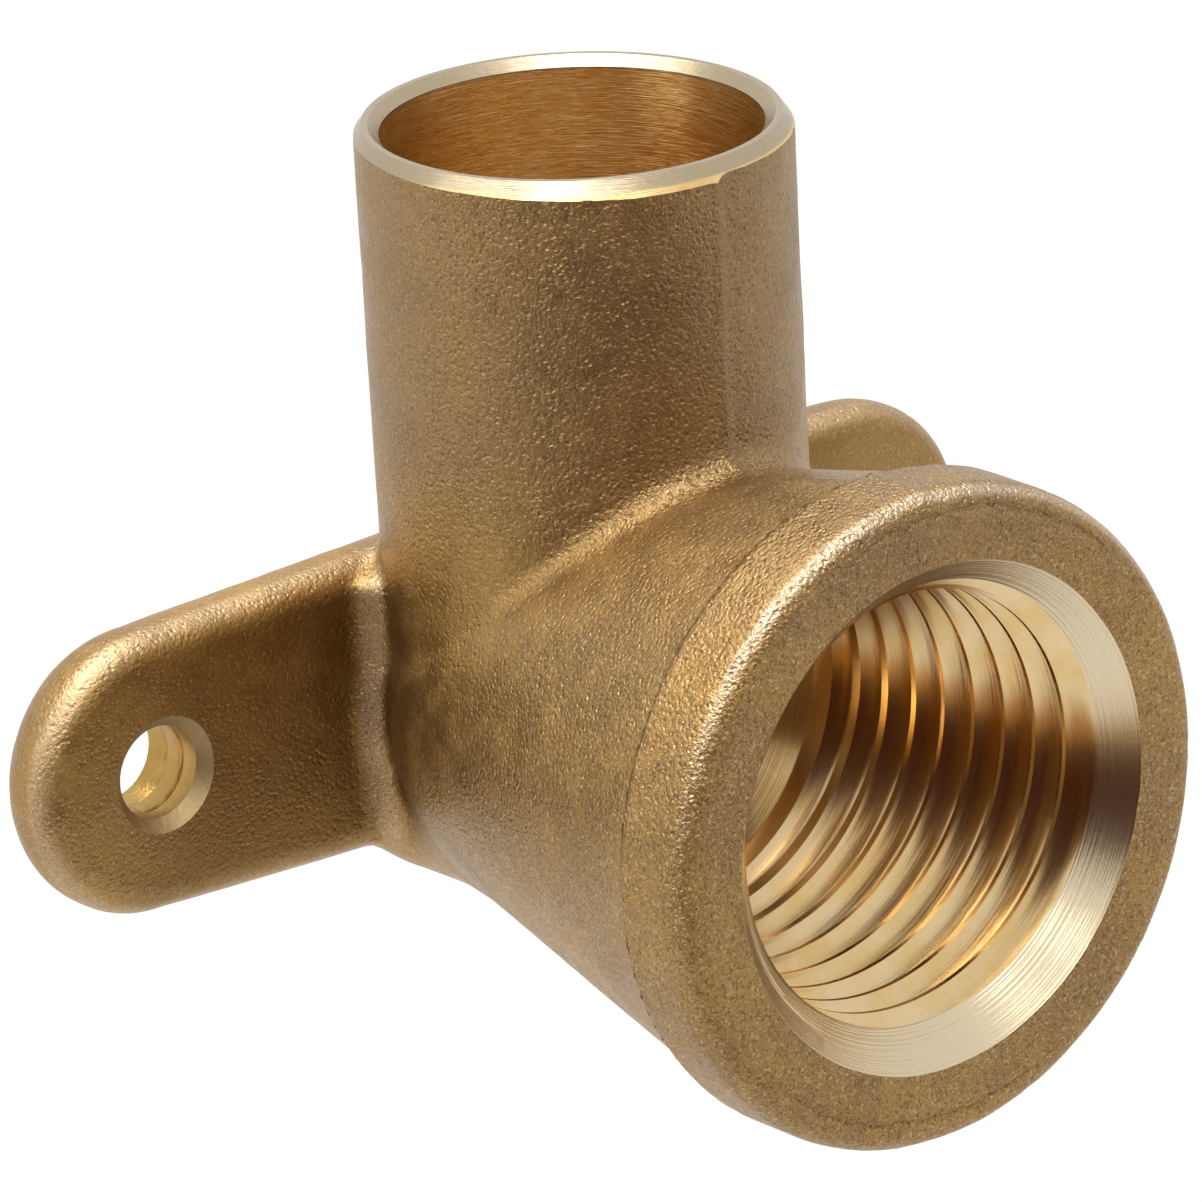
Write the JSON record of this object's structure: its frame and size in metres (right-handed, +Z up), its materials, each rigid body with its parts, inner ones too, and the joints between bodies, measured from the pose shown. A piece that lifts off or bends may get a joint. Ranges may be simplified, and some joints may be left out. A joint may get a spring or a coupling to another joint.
{
  "type": "wall plate elbow",
  "caption": "Cast bronze elbow with an upright solder cup, a female taper-threaded outlet with a collar, and flat ears for screwing it to a wall.",
  "frame": {"origin": "on the wall plane, where the outlet axis meets it, midway between the screw holes", "axes": "+Z up along the solder cup, -Y forward out of the threaded outlet, +Y into the wall"},
  "size_m": [0.0508, 0.0309, 0.0392],
  "materials": {
    "cast_bronze": "sand-cast skin, with the cup, rim, thread and screw holes machined bright"
  },
  "bodies": {
    "root": {"elbow": "cast_bronze"}
  },
  "joints": []
}
